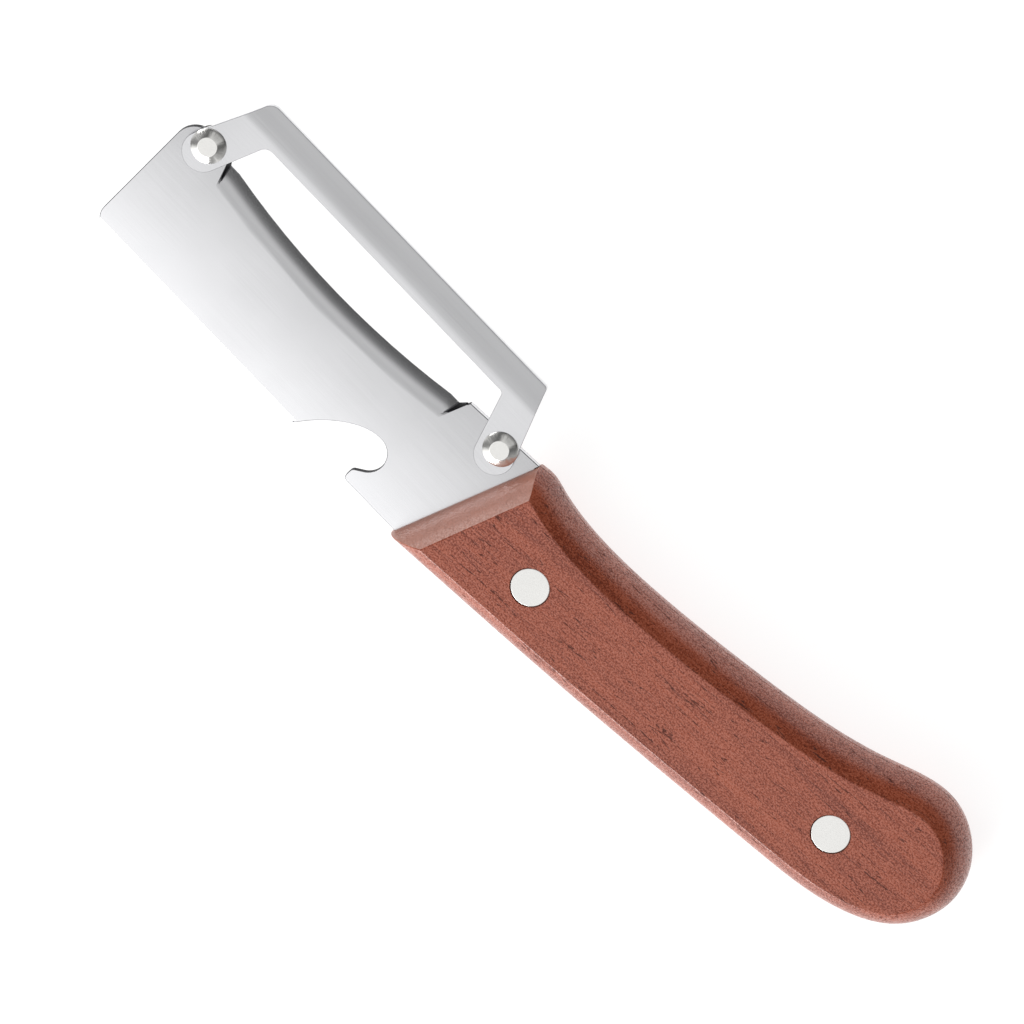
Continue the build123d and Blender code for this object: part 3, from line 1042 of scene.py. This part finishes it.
@dataclass
class Rivets:
    """The rivets of guard and handle, each kind repeated from the rear one to the front one."""

    edge_round: float = 0.12
    edge_limit: float = 20.0  # degrees
    edge_steps: int = 3
    crease: float = 14.0
    guard_spacing: float = 95.3
    handle_spacing: float = 87.6
    handle_slope: float = 7.2
    steel: RolledSteel = field(
        default_factory=lambda: RolledSteel(
            name="turned rivet steel",
            colour="f6f5f2",
            line_length=0.6,
            line_width=0.6,
            line_depth=0.4,
            roughness=0.18,
        )
    )
    repeat: RepeatInLine = field(default_factory=RepeatInLine)

    def row(self, kind: str, step: tuple, tree: bpy.types.NodeTree, finish: bpy.types.Material) -> None:
        """Builds and hands over the two rivet pieces of one kind.

        Args:
            kind: name of the CAD nodes, with a place for the end it is at.
            step: from the rear piece to the front one, in millimetres.
            tree: the tree that repeats a piece.
            finish: the material.
        """
        rough = cad_copy(kind.format("rear"), "rough rivet")
        if kind.startswith("guard"):
            soften(rough, self.edge_round, self.edge_limit, self.edge_steps)
        rough.data.materials.append(finish)  # without it the tree leaves an empty slot in front
        self.repeat.apply(rough, tree, 2, step, finish)
        rivets = settle(rough, kind.format("pair"), self.crease)
        hand_over(rivets, (kind.format("rear"), kind.format("front")))

    def build(self) -> None:
        """Builds every rivet piece."""
        tree = self.repeat.make()
        finish = self.steel.make()
        rise = self.handle_spacing * math.tan(math.radians(self.handle_slope))
        self.row("guard_rivet_{}", (self.guard_spacing, 0.0, 0.0), tree, finish)
        self.row("handle_rivet_{}_sleeve", (self.handle_spacing, rise, 0.0), tree, finish)
        self.row("handle_rivet_{}_pin", (self.handle_spacing, rise, 0.0), tree, finish)


# ---------------------------------------------------------------- studio


@dataclass(frozen=True)
class SoftBox:
    """A square lamp that looks at the knife; lengths in metres."""

    name: str
    place: tuple
    power: float
    size: float = 0.6


@dataclass
class Studio:
    """Pale floor, soft light from the cutting edge's side, and the camera."""

    aim: tuple = (58.63, -1.02, 10.08)  # millimetres
    toward_camera: tuple = (0.0809, -0.3656, 0.9272)
    picture_up: tuple = (0.7175, -0.6235, -0.3087)
    distance: float = 2.4  # metres
    picture_width: float = 0.2324
    sensor: float = 36.0
    far: float = 20.0
    floor_half: float = 3.0
    floor_gap: float = 0.00005
    sky_by_share: tuple = (  # brightness from the spine's side (0) to the cutting edge's side (1)
        (0.05, 0.09),
        (0.2, 0.22),
        (0.32, 0.7),
        (0.5, 0.58),
        (0.6, 0.62),
        (0.685, 0.9),
        (0.75, 1.3),
        (0.8, 1.35),
        (0.88, 1.25),
    )
    window_by_side: tuple = ((0.3, 1.0), (0.5, 0.14), (0.62, 0.2), (0.78, 0.6))
    lamp_target: tuple = (0.05, 0, 0.01)
    boxes: tuple = (
        SoftBox("key soft box", (-0.1, 1.0, 0.5), 7.5),
        SoftBox("tip soft box", (1.2, -0.05, 0.5), 3.2),
    )

    def floor(self) -> None:
        """Lays the floor."""
        centre = (self.lamp_target[0], 0, -self.floor_gap)
        bpy.ops.mesh.primitive_plane_add(size=2 * self.floor_half, location=centre)
        plane = bpy.context.object
        plane.name = "floor"
        plane.data.materials.append(PaleFloor().make())

    def sky(self) -> None:
        """Lights the room: bright on the cutting edge's side, dim on the spine's side."""
        world = bpy.data.worlds.new("studio")
        bpy.context.scene.world = world
        world.use_nodes = True
        tree = world.node_tree
        tree.nodes.clear()
        way = add_node(tree, "ShaderNodeTexCoord", {}, {}).outputs["Generated"]
        parts = add_node(tree, "ShaderNodeSeparateXYZ", {}, {0: way}).outputs
        share = add_node(
            tree, "ShaderNodeMath", {"operation": "MULTIPLY_ADD"}, {0: parts["Y"], 1: 0.5, 2: 0.5}
        ).outputs[0]
        glow = ramp(tree, share, [(at, grey(value)) for at, value in self.sky_by_share])
        aside = add_node(tree, "ShaderNodeMath", {"operation": "ABSOLUTE"}, {0: parts["X"]}).outputs[0]
        window = ramp(tree, aside, [(at, grey(value)) for at, value in self.window_by_side])
        glow = add_node(
            tree, "ShaderNodeVectorMath", {"operation": "MULTIPLY"}, {0: glow, 1: window}
        ).outputs[0]
        light = add_node(tree, "ShaderNodeBackground", {}, {"Color": glow, "Strength": 1.0})
        add_node(tree, "ShaderNodeOutputWorld", {}, {"Surface": light.outputs[0]})

    def lamps(self) -> None:
        """Hangs the soft boxes."""
        target = Vector(self.lamp_target)
        for box in self.boxes:
            data = bpy.data.lights.new(box.name, "AREA")
            data.shape = "SQUARE"
            data.size = box.size
            data.energy = box.power
            lamp = bpy.data.objects.new(box.name, data)
            lamp.location = box.place
            lamp.rotation_euler = (target - Vector(box.place)).to_track_quat("-Z", "Y").to_euler()
            bpy.context.scene.collection.objects.link(lamp)

    def camera(self) -> None:
        """Places the camera."""
        back = Vector(self.toward_camera).normalized()
        up = Vector(self.picture_up)
        up = (up - back * up.dot(back)).normalized()
        right = up.cross(back)
        data = bpy.data.cameras.new("camera")
        data.sensor_width = self.sensor
        data.lens = self.sensor * self.distance / self.picture_width
        data.clip_end = self.far
        camera = bpy.data.objects.new("camera", data)
        turn = Matrix((right, up, back)).transposed().to_4x4()
        camera.matrix_world = Matrix.Translation(Vector(self.aim) * MM + back * self.distance) @ turn
        bpy.context.scene.collection.objects.link(camera)
        bpy.context.scene.camera = camera

    def build(self) -> None:
        """Sets up floor, lights, camera and plain colour handling."""
        self.floor()
        self.sky()
        self.lamps()
        self.camera()
        bpy.context.scene.view_settings.view_transform = "Standard"


def main() -> None:
    """Builds the knife and the studio in order."""
    logging.basicConfig(level=logging.INFO, format="%(name)s: %(message)s")
    BladePlate().build()
    PeelerGuard().build()
    Rivets().build()
    WoodenHandle().build()
    Studio().build()


if __name__ == "__main__":
    main()
